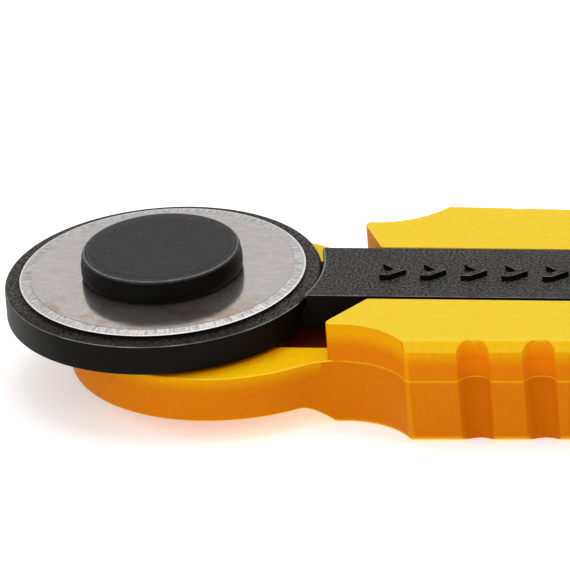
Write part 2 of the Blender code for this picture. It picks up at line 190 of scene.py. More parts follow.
# a ring turned about the bolt's axis from a closed (radius, z) section
def turnedRing(name, section, steps, sharpAngle):
    points = []
    for step in range(steps):
        angle = 2 * math.pi * step / steps
        points += [(radius * math.cos(angle), radius * math.sin(angle), z) for radius, z in section]
    return newPiece(name, points, ringFaces(steps, len(section), closed=True), sharpAngle)


# a turned solid that closes on its upright axis: the section runs out from the axis and back to it
def turnedSolid(name, section, steps=128, centre=(0.0, 0.0)):
    inner = section[1:-1]
    size = len(inner)
    points = []
    for step in range(steps):
        angle = 2 * math.pi * step / steps
        for radius, z in inner:
            points.append((centre[0] + radius * math.cos(angle), centre[1] + radius * math.sin(angle), z))
    faces = []
    for step in range(steps):
        here = step * size
        after = ((step + 1) % steps) * size
        for index in range(size - 1):
            faces.append((here + index, here + index + 1, after + index + 1, after + index))
    faces.append(tuple(step * size for step in range(steps)))
    faces.append(tuple(step * size + size - 1 for step in range(steps)))
    return newPiece(name, points, faces)


# a solid from an (x, z) section, as wide on both sides of the middle, with small bevels at its ends
def alongY(name, section, halfWidth, edge):
    directions = insetDirections(section)
    points = []
    inside = halfWidth - edge
    for y, inward in ((-halfWidth, edge), (-inside, 0.0), (inside, 0.0), (halfWidth, edge)):
        for (x, z), way in zip(section, directions):
            points.append((x + way.x * inward, y, z + way.y * inward))
    size = len(section)
    faces = ringFaces(4, size)
    faces.append(tuple(range(size))[::-1])
    faces.append(tuple(range(3 * size, 4 * size)))
    return newPiece(name, points, faces)


def combine(piece, other, how):
    modifier = piece.modifiers.new(how, "BOOLEAN")
    modifier.operation = how
    modifier.solver = "EXACT"
    modifier.object = other
    settled = bpy.context.evaluated_depsgraph_get()
    mesh = bpy.data.meshes.new_from_object(piece.evaluated_get(settled))
    piece.modifiers.clear()
    old = piece.data
    piece.data = mesh
    bpy.data.meshes.remove(old)
    bpy.data.objects.remove(other)


def cutFrom(piece, *cutters):
    for cutter in cutters:
        combine(piece, cutter, "DIFFERENCE")


def addTo(piece, *others):
    for other in others:
        combine(piece, other, "UNION")


# flat faces keep a flat shade beside the rounded edges
def settleShading(piece, sharpAngle=40):
    piece.data.shade_smooth()
    piece.data.set_sharp_from_angle(angle=math.radians(sharpAngle))
    weights = piece.modifiers.new("evenShading", "WEIGHTED_NORMAL")
    weights.keep_sharp = True
    weights.weight = 80


def fitPiece(piece, material, body, slotName, *nodes):
    piece.data.materials.clear()
    piece.data.materials.append(material)
    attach(piece, body)
    if nodes:
        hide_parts(*nodes)


# the handle's and the guard's sizes, which their finishes also use
handle = dict(
    headRadius=15.6,
    headCentreX=6.1,
    headTop=-3.8,
    headBottom=-8.45,
    headTopEdge=0.16,
    headBottomEdge=0.3,
    rampStart=15.2,
    rampEnd=18.3,
    waistX=19.3,
    waistHalf=11.2,
    corner=(26.35, 15.35),
    cornerRadius=0.5,
    tailRadius=12.45,
    railFront=(17.5, 11.2),
    railFrontRadius=0.65,
    railInner=(21.15, 5.6),
    farShift=(0.55, -0.4),    # how much further back the +Y rail's front and inner corners lie
    channelEnd=84.0,
    chamferIn=0.68,           # the long top edges: a slanting strip with soft corners
    chamferDown=0.95,
    chamferSoft=0.16,
    smallEdge=0.13,
    gripBottomEdge=0.9,
    draft=0.012,
    recessStart=12.0,
    recessHalf=8.45,
    recessFloor=-5.8,
    partingBead=0.05,
    grooveFirst=32.95,
    groovePitch=6.4,
    grooveCount=5,
    grooveRadius=1.65,
    grooveDepth=1.15,
    hangHoleRadius=3.5,
    hangHoleFromTail=8.45,
    hangHoleFlare=0.7,
    pocketRadius=7.0,         # under the head, for the washers
    pocketTop=-6.7,
    boltHoleRadius=2.8,
    rivetHoleRadius=1.3,
    rivetX=38.0,
)
tailCentreX = tailX - handle["tailRadius"]
sideTaper = (handle["corner"][1] - handle["tailRadius"]) / (tailCentreX - handle["corner"][0])
grooveLast = handle["grooveFirst"] + (handle["grooveCount"] - 1) * handle["groovePitch"]

guard = dict(
    top=-0.45,
    bottom=-3.5,
    edge=0.22,
    armFrontRadius=15.78,
    neckTop=-1.3,
    armHalf=5.24,
    armTop=0.24,
    armEdge=0.14,
    markFirst=21.6,
    markPitch=4.0,
    markCount=6,
    markRise=0.62,
    markBack=1.5,
    markStroke=1.15,
    markHalf=1.3,
    markY=-0.55,
    padStart=52.0,
    padEnd=66.0,
    padRidges=6,
    padRise=2.0,
    travel=6.2,
    bushRoom=5.3,
    lugStarts=(26.0, 62.0),
    lugLength=6.0,
    lugInner=4.0,
    lugReach=7.8,
    lugBottom=-5.5,
    lugTop=-4.1,
)


def newFinish(name):
    material = bpy.data.materials.new(name)
    material.use_nodes = True
    tree = material.node_tree
    shader = tree.nodes["Principled BSDF"]
    return material, tree, shader


# a socket takes a number, a vector, a colour or another node's output
def plug(tree, socket, value):
    if isinstance(value, bpy.types.NodeSocket):
        tree.links.new(value, socket)
    elif isinstance(value, tuple):
        socket.default_value = (*value, 1.0)[:len(socket.default_value)]
    else:
        socket.default_value = value


def feed(tree, node, values):
    for name, value in values.items():
        plug(tree, node.inputs[name], value)


def mathNode(tree, operation, *values):
    node = tree.nodes.new("ShaderNodeMath")
    node.operation = operation
    for socket, value in zip(node.inputs, values):
        plug(tree, socket, value)
    return node.outputs[0]


def vectorMath(tree, operation, first, second):
    node = tree.nodes.new("ShaderNodeVectorMath")
    node.operation = operation
    plug(tree, node.inputs[0], first)
    plug(tree, node.inputs[1], second)
    return node.outputs[0]


def product(tree, first, *others):
    for other in others:
        first = mathNode(tree, "MULTIPLY", first, other)
    return first


def distanceFrom(tree, value, middle):
    return mathNode(tree, "ABSOLUTE", mathNode(tree, "SUBTRACT", value, middle))


def radiusFrom(tree, x, y):
    return mathNode(tree, "SQRT", mathNode(tree, "ADD", product(tree, x, x), product(tree, y, y)))


def remap(tree, value, fromLow, fromHigh, toLow, toHigh, smooth=False):
    node = tree.nodes.new("ShaderNodeMapRange")
    node.interpolation_type = "SMOOTHSTEP" if smooth else "LINEAR"
    feed(tree, node, {"Value": value, "From Min": fromLow, "From Max": fromHigh,
                      "To Min": toLow, "To Max": toHigh})
    return node.outputs["Result"]


def mixColour(tree, factor, first, second, how="MIX"):
    node = tree.nodes.new("ShaderNodeMix")
    node.data_type = "RGBA"
    node.blend_type = how
    for index, value in ((0, factor), (6, first), (7, second)):     # the colour inputs are 6 and 7
        plug(tree, node.inputs[index], value)
    return node.outputs[2]


def shaded(tree, colour, factor):
    return mixColour(tree, 1.0, colour, factor, "MULTIPLY")


# object coordinates in millimetres from the bolt's axis and the blade's mid-plane
def benchCoordinates(tree):
    where = tree.nodes.new("ShaderNodeTexCoord").outputs["Object"]
    fromBolt = vectorMath(tree, "SUBTRACT", where, (boltX, 0.0, bladeZ))
    return vectorMath(tree, "MULTIPLY", fromBolt, (1 / mm, 1 / mm, 1 / mm))


def noise(tree, place, scale, detail=3.0, roughness=0.5, stretch=None):
    if stretch:
        place = vectorMath(tree, "MULTIPLY", place, stretch)
    node = tree.nodes.new("ShaderNodeTexNoise")
    feed(tree, node, {"Vector": place, "Scale": scale, "Detail": detail, "Roughness": roughness})
    return node.outputs["Fac"]


def addBump(tree, shader, height, strength, depth):
    node = tree.nodes.new("ShaderNodeBump")
    feed(tree, node, {"Height": height, "Strength": strength, "Distance": depth * mm})
    tree.links.new(node.outputs["Normal"], shader.inputs["Normal"])


def splitVector(tree, vector):
    split = tree.nodes.new("ShaderNodeSeparateXYZ")
    tree.links.new(vector, split.inputs[0])
    return split.outputs["X"], split.outputs["Y"], split.outputs["Z"]


# how far the surface faces up: 1 on level ground, 0 on a wall, -1 underneath
def upwardness(tree):
    geometry = tree.nodes.new("ShaderNodeNewGeometry")
    return splitVector(tree, geometry.outputs["Normal"])[2]


# 1 where a surface faces up by about the given amount, as only the rounded edges do
def edgeBand(tree, upward, middle, full, none):
    return remap(tree, distanceFrom(tree, upward, middle), full, none, 1.0, 0.0)


# the yellow plastic's colours; top and wall are lit and shaded copies of one yellow, painted light and shade
yellowLook = dict(
    top=(0.79, 0.54, 0.032),
    headTop=(0.86, 0.47, 0.002),      # painted shade: warmer and darker on the head, which lies lower in the guard's shade
    wall=(0.65, 0.182, 0.003),
    strip=(0.80, 0.475, 0.013),       # the slanting strip along the long top edges, painted lighter by its slope
    glow=(0.75, 0.34, 0.0015),        # painted light just below an edge, where light comes through from the top
    # painted shade: the deep orange in the grooves
    groove=(0.74, 0.182, 0.002),
    edge=(0.97, 0.74, 0.13),          # painted highlight: the fine line of light on the sharp top edges
    shade=(0.74, 0.20, 0.001),        # painted shade on the head close to the guard
    # painted shade in the recess and the slot
    recess=(0.42, 0.050, 0.003),
    farFrontLight=(0.88, 0.30, 0.001),     # painted light on the front face of the +Y rail
    specularTint=(1.0, 0.72, 0.2),
    specular=0.035,
    mottle=0.06,
    roughness=0.48,
    grain=0.3,
)


# 1 inside the finger grooves and 0 elsewhere
def grooveMask(tree, x, y):
    first, pitch = handle["grooveFirst"], handle["groovePitch"]
    along = mathNode(tree, "PINGPONG", mathNode(tree, "SUBTRACT", x, first), pitch / 2)
    near = remap(tree, along, 1.1, 1.65, 1.0, 0.0, smooth=True)
    onSide = remap(tree, mathNode(tree, "ABSOLUTE", y), 12.0, 12.6, 0.0, 1.0)
    afterFirst = remap(tree, x, first - 2.4, first - 2.2, 0.0, 1.0)
    beforeLast = remap(tree, x, grooveLast + 2.2, grooveLast + 2.4, 1.0, 0.0)
    return product(tree, near, onSide, afterFirst, beforeLast)


# painted light and shade on the walls: a painted glow below their top edges, painted shade that turns
# the grooves deep orange, and painted highlights at the grip's corners and along the parting line
def yellowWall(tree, x, y, z, high):
    look, headTop = yellowLook, handle["headTop"]
    railX, aside = handle["railFront"][0], mathNode(tree, "ABSOLUTE", y)
    onGrip = remap(tree, x, railX - 0.3, railX + 0.3, 0.0, 1.0)
    edgeZ = remap(tree, onGrip, 0.0, 1.0, headTop, gripTop - handle["chamferDown"])
    # painted light: the wall glows just below its top edge
    glow = remap(tree, mathNode(tree, "SUBTRACT", edgeZ, z), -0.1, 1.7, 0.9, 0.0, smooth=True)
    wall = mixColour(tree, glow, look["wall"], look["glow"])
    # painted shade in the grooves, darker low down
    darkerBelow = remap(tree, z, headTop - 0.6, headTop + 1.6, 0.8, 1.0, smooth=True)
    groove = shaded(tree, look["groove"], darkerBelow)
    pressed = product(tree, grooveMask(tree, x, y), remap(tree, z, -1.9, -1.0, 1.0, 0.45, smooth=True))
    wall = mixColour(tree, pressed, wall, groove)
    # painted highlight on the grip's corners
    fromCorner = distanceFrom(tree, x, handle["corner"][0] + 0.05)
    cornerHighlight = product(tree, remap(tree, fromCorner, 0.15, 0.4, 0.4, 0.0, smooth=True),
                       remap(tree, aside, 14.3, 14.8, 0.0, 1.0))
    wall = mixColour(tree, cornerHighlight, wall, look["glow"])
    # painted shade just below the parting line
    wall = shaded(tree, wall, remap(tree, z, headTop - 0.25, headTop + 0.1, 0.92, 1.0))
    # painted highlight along the parting line
    fromParting = distanceFrom(tree, z, headTop - 0.06)
    parting = product(tree, remap(tree, fromParting, 0.03, 0.07, 0.5, 0.0), onGrip)
    wall = mixColour(tree, parting, wall, look["glow"])
    # painted light on the front face of the +Y rail
    farRail = remap(tree, y, 5.0, 5.3, 0.0, 1.0)
    front = remap(tree, x, 20.9, 21.0, 0.85, 0.0)
    return mixColour(tree, product(tree, front, farRail, high), wall, look["farFrontLight"])


def yellowTop(tree, x, y, high):
    look = yellowLook
    # the rails' tops take the top colour; on the head, painted light makes it lighter towards the +Y side
    bright = mathNode(tree, "MAXIMUM", high, remap(tree, y, 5.0, 10.0, 0.0, 0.85))
    top = mixColour(tree, bright, look["headTop"], look["top"])
    # painted shade on the head close to the guard
    fromBolt = radiusFrom(tree, x, y)
    guardShade = product(tree, remap(tree, fromBolt, guardRadius - 0.1, guardRadius + 1.1, 0.75, 0.0),
                        mathNode(tree, "SUBTRACT", 1.0, bright))
    return mixColour(tree, guardShade, top, look["shade"])


# 1 in the recess behind the head and in the slot that carries it on below the rails
def recessMask(tree, x, y, z):
    half, floor = handle["recessHalf"], handle["recessFloor"]
    return product(
        tree,
        remap(tree, z, handle["headTop"] - 0.2, handle["headTop"] - 0.1, 1.0, 0.0),
        remap(tree, z, floor - 0.1, floor - 0.05, 0.0, 1.0),
        remap(tree, mathNode(tree, "ABSOLUTE", y), half + 0.02, half + 0.1, 1.0, 0.0),
        remap(tree, x, handle["recessStart"] - 0.1, handle["recessStart"], 0.0, 1.0),
        remap(tree, x, handle["channelEnd"], handle["channelEnd"] + 0.1, 1.0, 0.0),
    )


def yellowPlastic():
    look = yellowLook
    material, tree, shader = newFinish("yellowPlastic")
    place = benchCoordinates(tree)
    x, y, z = splitVector(tree, place)
    upward = mathNode(tree, "ABSOLUTE", upwardness(tree))
    high = remap(tree, z, handle["headTop"] + 0.2, handle["headTop"] + 0.9, 0.0, 1.0)
    # painted light and shade: faces that look up take the lit top colour, walls the shaded wall colour
    facing = remap(tree, upward, 0.1, 0.8, 0.0, 1.0, smooth=True)
    base = mixColour(tree, facing, yellowWall(tree, x, y, z, high), yellowTop(tree, x, y, high))
    # painted light on the slanting strip, by how far it faces up
    slanted = remap(tree, distanceFrom(tree, upward, 0.58), 0.15, 0.3, 1.0, 0.0, smooth=True)
    base = mixColour(tree, product(tree, slanted, high), base, look["strip"])
    # painted shade in the recess and the slot
    base = mixColour(tree, recessMask(tree, x, y, z), base, look["recess"])
    # painted highlight on the sharp top edges
    base = mixColour(tree, product(tree, edgeBand(tree, upward, 0.88, 0.05, 0.1), 0.6), base, look["edge"])
    mottle = remap(tree, noise(tree, place, 1.9, 4.0, 0.7), 0.3, 0.7, 1 - look["mottle"], 1 + look["mottle"])
    roughness = look["roughness"]
    feed(tree, shader, {
        "Base Color": shaded(tree, base, mottle),
        "Roughness": remap(tree, noise(tree, place, 1.3, 4.0), 0.3, 0.7, roughness - 0.05, roughness + 0.07),
        "Subsurface Weight": 0.15,
        "Subsurface Radius": (1.0, 0.35, 0.05),
        "Subsurface Scale": 1.2 * mm,
        "Specular IOR Level": look["specular"],
        "Specular Tint": look["specularTint"],
    })
    addBump(tree, shader, noise(tree, place, 5.0, 4.0, 0.6), look["grain"], 0.02)
    return material


blackLook = dict(
    # top and wall are lit and shaded copies of one black: painted light and shade
    top=(0.088, 0.085, 0.080),
    pit=(0.006, 0.006, 0.0055),
    wall=(0.0030, 0.0026, 0.0022),
    leftWallSheen=(0.030, 0.029, 0.028),   # painted sheen: greyer towards the guard's front
    frontShade=(0.42, 0.41, 0.40),    # painted shade: the guard's -Y side is darker
    # painted highlight on the rounded edges and the arm's step
    edge=(0.22, 0.216, 0.205),
    specular=0.07,
    roughness=0.5,
    pebble=4.0,
    depth=0.05,
)


# a painted highlight where the arm steps up from the guard, and a painted shadow at its foot
def armStep(tree, base, x, y, z):
    look = blackLook
    fromBolt = radiusFrom(tree, x, y)
    beside = product(tree, remap(tree, mathNode(tree, "ABSOLUTE", y), 5.4, 5.8, 1.0, 0.0),
                     remap(tree, x, 10.0, 11.0, 0.0, 1.0))
    fromStep = distanceFrom(tree, fromBolt, guard["armFrontRadius"] + 0.1)
    stepHighlight = product(tree, remap(tree, fromStep, 0.06, 0.14, 0.8, 0.0), beside,
                     remap(tree, z, -0.1, 0.05, 0.0, 1.0))
    base = mixColour(tree, stepHighlight, base, look["edge"])
    footShadow = product(tree, remap(tree, fromBolt, guardRadius - 0.35, guardRadius - 0.15, 0.0, 0.9), beside,
                     remap(tree, z, -0.3, -0.2, 1.0, 0.0))
    return mixColour(tree, footShadow, base, look["wall"])


def blackPlastic():
    look = blackLook
    material, tree, shader = newFinish("blackPlastic")
    place = benchCoordinates(tree)
    x, y, z = splitVector(tree, place)
    pebbles = noise(tree, place, look["pebble"], 2.0, 0.6)
    cloud = noise(tree, place, 0.35, 4.0)
    upward = upwardness(tree)
    top = mixColour(tree, remap(tree, pebbles, 0.4, 0.62, 0.0, 1.0), look["pit"], look["top"])
    top = shaded(tree, top, remap(tree, cloud, 0.35, 0.75, 0.92, 1.15))
    # painted shade on the guard's -Y side
    frontward = product(tree, remap(tree, y, -5.5, -12.0, 0.0, 1.0, smooth=True),
                        remap(tree, x, 11.0, 14.0, 1.0, 0.0))
    top = mixColour(tree, frontward, top, shaded(tree, top, look["frontShade"]))
    # painted sheen: the wall greyer towards the guard's front
    leftward = remap(tree, x, -7.0, -15.5, 0.0, 1.0, smooth=True)
    wall = mixColour(tree, leftward, look["wall"], look["leftWallSheen"])
    # painted light and shade: faces that look up take the lit top colour, walls the shaded wall colour
    facing = remap(tree, upward, 0.35, 0.9, 0.0, 1.0, smooth=True)
    base = mixColour(tree, facing, wall, top)
    # painted highlight on the rounded edges, patchy by noise
    edgeHighlight = product(tree, edgeBand(tree, upward, 0.72, 0.1, 0.2), remap(tree, cloud, 0.4, 0.6, 0.4, 1.0))
    base = mixColour(tree, edgeHighlight, base, look["edge"])
    feed(tree, shader, {
        "Base Color": armStep(tree, base, x, y, z),
        "Roughness": remap(tree, pebbles, 0.3, 0.7, look["roughness"] - 0.08, look["roughness"] + 0.1),
        "Specular IOR Level": look["specular"],
    })
    height = product(tree, pebbles, remap(tree, facing, 0.0, 1.0, 0.1, 1.0))
    addBump(tree, shader, height, 0.9, look["depth"])
    return material


capLook = dict(
    # top and wall are lit and shaded copies of one black: painted light and shade
    top=(0.034, 0.033, 0.033),
    wall=(0.0015, 0.0012, 0.001),
    scuff=(0.085, 0.083, 0.082),
    # painted highlight on the rounded top edge
    edge=(0.17, 0.166, 0.164),
    specular=0.06,
    roughness=0.4,
)


def capPlastic():
    look = capLook
    material, tree, shader = newFinish("capPlastic")
    place = benchCoordinates(tree)
    upward = upwardness(tree)
    scuffs = noise(tree, place, 1.1, 6.0, 0.7, stretch=(0.5, 2.4, 1.0))
    scratches = noise(tree, place, 2.6, 3.0, 0.5, stretch=(0.25, 3.0, 1.0))
    dust = remap(tree, scuffs, 0.55, 0.8, 0.0, 0.6, smooth=True)
    top = mixColour(tree, dust, look["top"], look["scuff"])
    top = shaded(tree, top, remap(tree, noise(tree, place, 3.0, 3.0, 0.7), 0.35, 0.65, 0.72, 1.28))
    # painted light and shade: faces that look up take the lit top colour, walls the shaded wall colour
    facing = remap(tree, upward, 0.3, 0.75, 0.0, 1.0, smooth=True)
    base = mixColour(tree, facing, look["wall"], top)
    # painted highlight on the rounded top edge, patchy by noise
    edgeHighlight = product(tree, edgeBand(tree, upward, 0.85, 0.05, 0.12), remap(tree, scuffs, 0.4, 0.6, 0.5, 1.0))
    feed(tree, shader, {
        "Base Color": mixColour(tree, edgeHighlight, base, look["edge"]),
        "Roughness": remap(tree, scratches, 0.35, 0.7, look["roughness"] - 0.1, look["roughness"] + 0.16),
        "Specular IOR Level": look["specular"],
    })
    addBump(tree, shader, scratches, 0.25, 0.02)
    return material


bladeLook = dict(
    flat=(0.70, 0.655, 0.63),
    cloud=(0.56, 0.524, 0.504),
    bevel=(0.62, 0.605, 0.59),
    rim=(0.9, 0.88, 0.86),            # the bright outermost edge
    line=(0.20, 0.19, 0.18),          # painted shade: a dark line where the flat meets the ground bevel
    stain=(0.52, 0.36, 0.25),
    hole=4.05,
    bevelWidth=1.07,
    metallic=0.93,
    flatRoughness=0.125,
    bevelRoughness=0.34,
)


def bladeSteel():
    look = bladeLook
    material, tree, shader = newFinish("bladeSteel")
    place = benchCoordinates(tree)
    x, y, _ = splitVector(tree, place)
    radius = radiusFrom(tree, x, y)
    fromEdge = mathNode(tree, "SUBTRACT", bladeRadius, radius)
    around = tree.nodes.new("ShaderNodeCombineXYZ")
    feed(tree, around, {"X": product(tree, mathNode(tree, "ARCTAN2", y, x), 30.0),
                        "Y": product(tree, radius, 0.5)})
    grinding = noise(tree, around.outputs[0], 1.6, 3.0, 0.7)
    rolled = noise(tree, place, 0.9, 5.0, 0.65, stretch=(0.5, 1.6, 1.0))
    flat = mixColour(tree, remap(tree, rolled, 0.3, 0.75, 0.0, 1.0), look["flat"], look["cloud"])
    flat = shaded(tree, flat, remap(tree, noise(tree, place, 3.2, 3.0, 0.7), 0.3, 0.7, 0.88, 1.1))
    stains = remap(tree, noise(tree, place, 0.28, 4.0, 0.6), 0.48, 0.62, 0.0, 0.7, smooth=True)
    stained = product(tree, stains, remap(tree, y, -4.0, -9.0, 0.0, 1.0, smooth=True))
    flat = mixColour(tree, stained, flat, look["stain"])
    # painted shade: the dark line at the bevel's edge, stronger on the -Y side
    fromLine = distanceFrom(tree, fromEdge, look["bevelWidth"])
    bevelLineShade = product(tree, remap(tree, fromLine, 0.05, 0.14, 1.0, 0.0),
                     remap(tree, y, -9.0, -2.0, 0.85, 0.2))
    flat = mixColour(tree, bevelLineShade, flat, look["line"])
    bevel = shaded(tree, look["bevel"], remap(tree, grinding, 0.35, 0.65, 0.6, 1.2))
    bevel = mixColour(tree, remap(tree, fromEdge, 0.12, 0.2, 1.0, 0.0), bevel, look["rim"])
    ground = remap(tree, fromEdge, look["bevelWidth"] - 0.04, look["bevelWidth"] + 0.04, 1.0, 0.0)
    flatLow, bevelLow = look["flatRoughness"] - 0.03, look["bevelRoughness"] - 0.1
    flatGloss = remap(tree, rolled, 0.3, 0.7, flatLow, flatLow + 0.08)
    bevelGloss = remap(tree, grinding, 0.3, 0.7, bevelLow, bevelLow + 0.22)
    gloss = tree.nodes.new("ShaderNodeMix")
    for socket, value in zip((0, 2, 3), (ground, flatGloss, bevelGloss)):
        plug(tree, gloss.inputs[socket], value)
    feed(tree, shader, {
        "Base Color": mixColour(tree, ground, flat, bevel),
        "Metallic": look["metallic"],
        "Roughness": gloss.outputs[0],
    })
    addBump(tree, shader, product(tree, grinding, ground), 0.3, 0.012)
    return material


def plainMetal(name, colour, roughness, streak=(0.3, 3.0, 1.0)):
    material, tree, shader = newFinish(name)
    place = benchCoordinates(tree)
    lines = noise(tree, place, 2.0, 5.0, 0.65, stretch=streak)
    feed(tree, shader, {
        "Base Color": shaded(tree, colour, remap(tree, lines, 0.3, 0.7, 0.82, 1.08)),
        "Roughness": remap(tree, lines, 0.3, 0.7, roughness - 0.08, roughness + 0.12),
        "Metallic": 1.0,
    })
    addBump(tree, shader, lines, 0.2, 0.01)
    return material


yellow = yellowPlastic()
black = blackPlastic()
capBlack = capPlastic()
bladeMetal = bladeSteel()
brightMetal = plainMetal("brightSteel", (0.62, 0.61, 0.60), 0.28)
springMetal = plainMetal("springSteel", (0.44, 0.44, 0.46), 0.32, (0.2, 4.0, 1.0))
brassMetal = plainMetal("brass", (0.72, 0.50, 0.21), 0.27)
print("finishes made")


# radii of the waist's two hollow arcs, from the circle and the corner that they run between
def waistRadii():
    across = handle["waistX"] - handle["headCentreX"]
    low = handle["waistHalf"]
    front = (across ** 2 + low ** 2 - handle["headRadius"] ** 2) / (2 * (handle["headRadius"] - low))
    across = handle["corner"][0] - handle["waistX"]
    rise = handle["corner"][1] - low
    back = (across ** 2 + rise ** 2) / (2 * rise)
    return front, back


# the +Y side of the head, from its front as far as the waist's narrowest place
def headSide(inward):
    front, _ = waistRadii()
    across = handle["waistX"] - handle["headCentreX"]
    meeting = math.degrees(math.acos(across / (handle["headRadius"] + front)))
    head = arcPoints((handle["headCentreX"], 0.0), handle["headRadius"] - inward, 180, meeting, 60)
    waistCentre = (handle["waistX"], handle["waistHalf"] + front)
    return head + arcPoints(waistCentre, front + inward, meeting - 180, -90, 12)[1:]


# the +Y side of the grip, from the waist round the corner and along to the tail's tip; the waist
# and the straight side move in by amounts of their own, and meet at the corner wherever that takes them
def gripSide(waistInward, sideInward):
    _, back = waistRadii()
    corner = handle["corner"]
    centre = (handle["waistX"], handle["waistHalf"] + back)
    radius = back + waistInward

    def sideAt(x):
        return corner[1] - sideTaper * (x - corner[0]) - sideInward

    meetingX = corner[0]
    for _ in range(6):
        sweep = math.degrees(math.asin((sideAt(meetingX) - centre[1]) / radius))
        meetingX = centre[0] + radius * math.cos(math.radians(sweep))
    waist = []
    for step in range(24, 4, -1):     # closer together towards the corner
        angle = math.radians(sweep + (-90 - sweep) * (step / 24) ** 1.7)
        waist.append((centre[0] + radius * math.cos(angle), centre[1] + radius * math.sin(angle)))
    apex = (meetingX, sideAt(meetingX), max(0.12, handle["cornerRadius"] - 0.4 * sideInward))
    grooveStart = handle["grooveFirst"] - 2.2
    grooveEnd = grooveLast + 2.2
    taper = math.degrees(math.atan(sideTaper))
    tail = arcPoints((tailCentreX, 0.0), handle["tailRadius"] - sideInward, 90 - taper, 0, 36)
    sideStart = (corner[0] + 1.2, sideAt(corner[0] + 1.2))
    side = linePoints(sideStart, (grooveStart, sideAt(grooveStart)), 1.2)
    side += linePoints((grooveStart, sideAt(grooveStart)), (grooveEnd, sideAt(grooveEnd)), 0.2)[1:]
    side += linePoints((grooveEnd, sideAt(grooveEnd)), tail[0], 4.0)[1:-1]
    return waist + [apex] + side + tail


def mirrorSide(point):
    return (point[0], -point[1], *point[2:])


def smoothStep(value, low, high):
    share = min(1.0, max(0.0, (value - low) / (high - low)))
    return share * share * (3 - 2 * share)


# how deep a finger groove is at a place on the side wall; negative between grooves
def grooveAt(x, z):
    first = handle["grooveFirst"]
    pitch = handle["groovePitch"]
    radius = handle["grooveRadius"]
    rest = radius - handle["grooveDepth"]
    number = min(handle["grooveCount"] - 1, max(0, round((x - first) / pitch)))
    across = x - first - number * pitch
    domeStart = gripTop - 1.15
    above = 0.76 * max(0.0, z - domeStart)
    left = radius ** 2 - across ** 2 - above ** 2
    return (math.sqrt(left) if left > 0 else -math.sqrt(-left)) - rest


def softLarger(first, second, blend=0.12):
    near = max(0.0, blend - abs(first - second)) / blend
    return max(first, second) + near * near * blend / 4


def undersideAt(x):
    share = min(1.0, max(0.0, (x - handle["rampStart"]) / (handle["rampEnd"] - handle["rampStart"])))
    return handle["headBottom"] + (underside - handle["headBottom"]) * share ** 1.35


# the grooves, as an extra move towards the middle on top of a level's own inset
def pressGrooves(outline, levelInward, z):
    pressed = []
    inward = max(0.0, levelInward)
    for point in outline:
        x, y = point[:2]
        if x > handle["corner"][0] + 2 and abs(y) > handle["tailRadius"] * 0.8:
            y -= math.copysign(softLarger(inward, grooveAt(x, z)) - inward, y)
        pressed.append((x, y, *point[2:]))
    return pressed


# corner points become small arcs, and every point takes its height
def lifted(outline, heightAt):
    points = []
    for index, point in enumerate(outline):
        if len(point) == 2:
            points.append((*point, heightAt(point[0])))
            continue
        before = outline[index - 1][:2]
        after = outline[(index + 1) % len(outline)][:2]
        height = heightAt(point[0])
        points += [(x, y, height) for x, y in roundCorner(before, point[:2], after, point[2])]
    return points


def closedOutline(half):
    return [mirrorSide(point) for point in half[:-1]] + [half[-1]] + half[-2:0:-1]


# the head, the waist and the lower half of the grip, as far up as the parting line
def lowerBody():
    top, topEdge = handle["headTop"], handle["headTopEdge"]
    headEdge, gripEdge = handle["headBottomEdge"], handle["gripBottomEdge"]
    # inset of head and waist, inset of side and tail, share of the height, lifts of both
    levels = [(headEdge * away, gripEdge * away, 0.0, headEdge * rise, gripEdge * rise)
              for rise, away in quarterTurn(6)]
    for share in (0.2, 0.4, 0.6, 0.8, 0.95):
        left = 1 - share
        levels.append((0.0, 0.0, share, headEdge * left - 0.24 * share, gripEdge * left - 0.24 * share))
    levels.append((0.0, 0.0, 1.0, -topEdge - 0.04, -0.13))
    for step, (away, drop) in enumerate(quarterTurn(4)):
        levels.append((topEdge * away, 0.03 * away - handle["partingBead"], 1.0,
                       -topEdge * drop, -0.03 * drop - 0.04 * (1 - step / 4)))

    points = []
    for headIn, gripIn, share, headLift, gripLift in levels:
        def heightAt(x):
            onGrip = smoothStep(x, handle["waistX"] - 2.2, handle["waistX"])
            low = undersideAt(x)
            return low + (top - low) * share + headLift + (gripLift - headLift) * onGrip

        middle = heightAt(40.0)
        draftIn = handle["draft"] * (top - middle)
        front = headSide(headIn + handle["draft"] * (top - heightAt(0.0)))
        back = gripSide((gripIn if share == 1.0 else headIn) + draftIn, gripIn + draftIn)
        outline = closedOutline(front[:-1] + back)
        points += lifted(pressGrooves(outline, gripIn + draftIn, middle), heightAt)
    size = len(points) // len(levels)
    faces = ringFaces(len(levels), size)
    for start in (0, (len(levels) - 1) * size):     # strips across the bottom and the top
        for index in range(size // 2):
            corners = (start + index, start + index + 1, start + (size - index - 1) % size,
                       start + (size - index) % size)
            distinct = tuple(dict.fromkeys(corners))
            if len(distinct) > 2:
                faces.append(distinct)
    return newPiece("handle_body_visual", points, faces)


# the long top edge's section, from the wall up: soft bend, slanting strip, crisp bend
def chamferLevels():
    across, down, soft = handle["chamferIn"], handle["chamferDown"], handle["chamferSoft"]
    levels = []
    for share in (0.0, 0.33, 0.66, 1.0):
        levels.append((across * soft * share ** 2 * 0.9, -down * (1 - soft * share) - 0.12 * (1 - share)))
    levels.append((across * 0.42, -down * 0.52))
    levels.append((across * 0.70, -down * 0.23))
    levels.append((across * 0.97, -0.03))
    levels.append((across * 1.03, 0.0))
    return levels


def stripHeight(depth):
    strip = chamferLevels()
    for (lowAcross, lowHeight), (highAcross, highHeight) in zip(strip, strip[1:]):
        if depth <= highAcross:
            share = min(1.0, max(0.0, (depth - lowAcross) / (highAcross - lowAcross)))
            return lowHeight + (highHeight - lowHeight) * share
    return 0.0


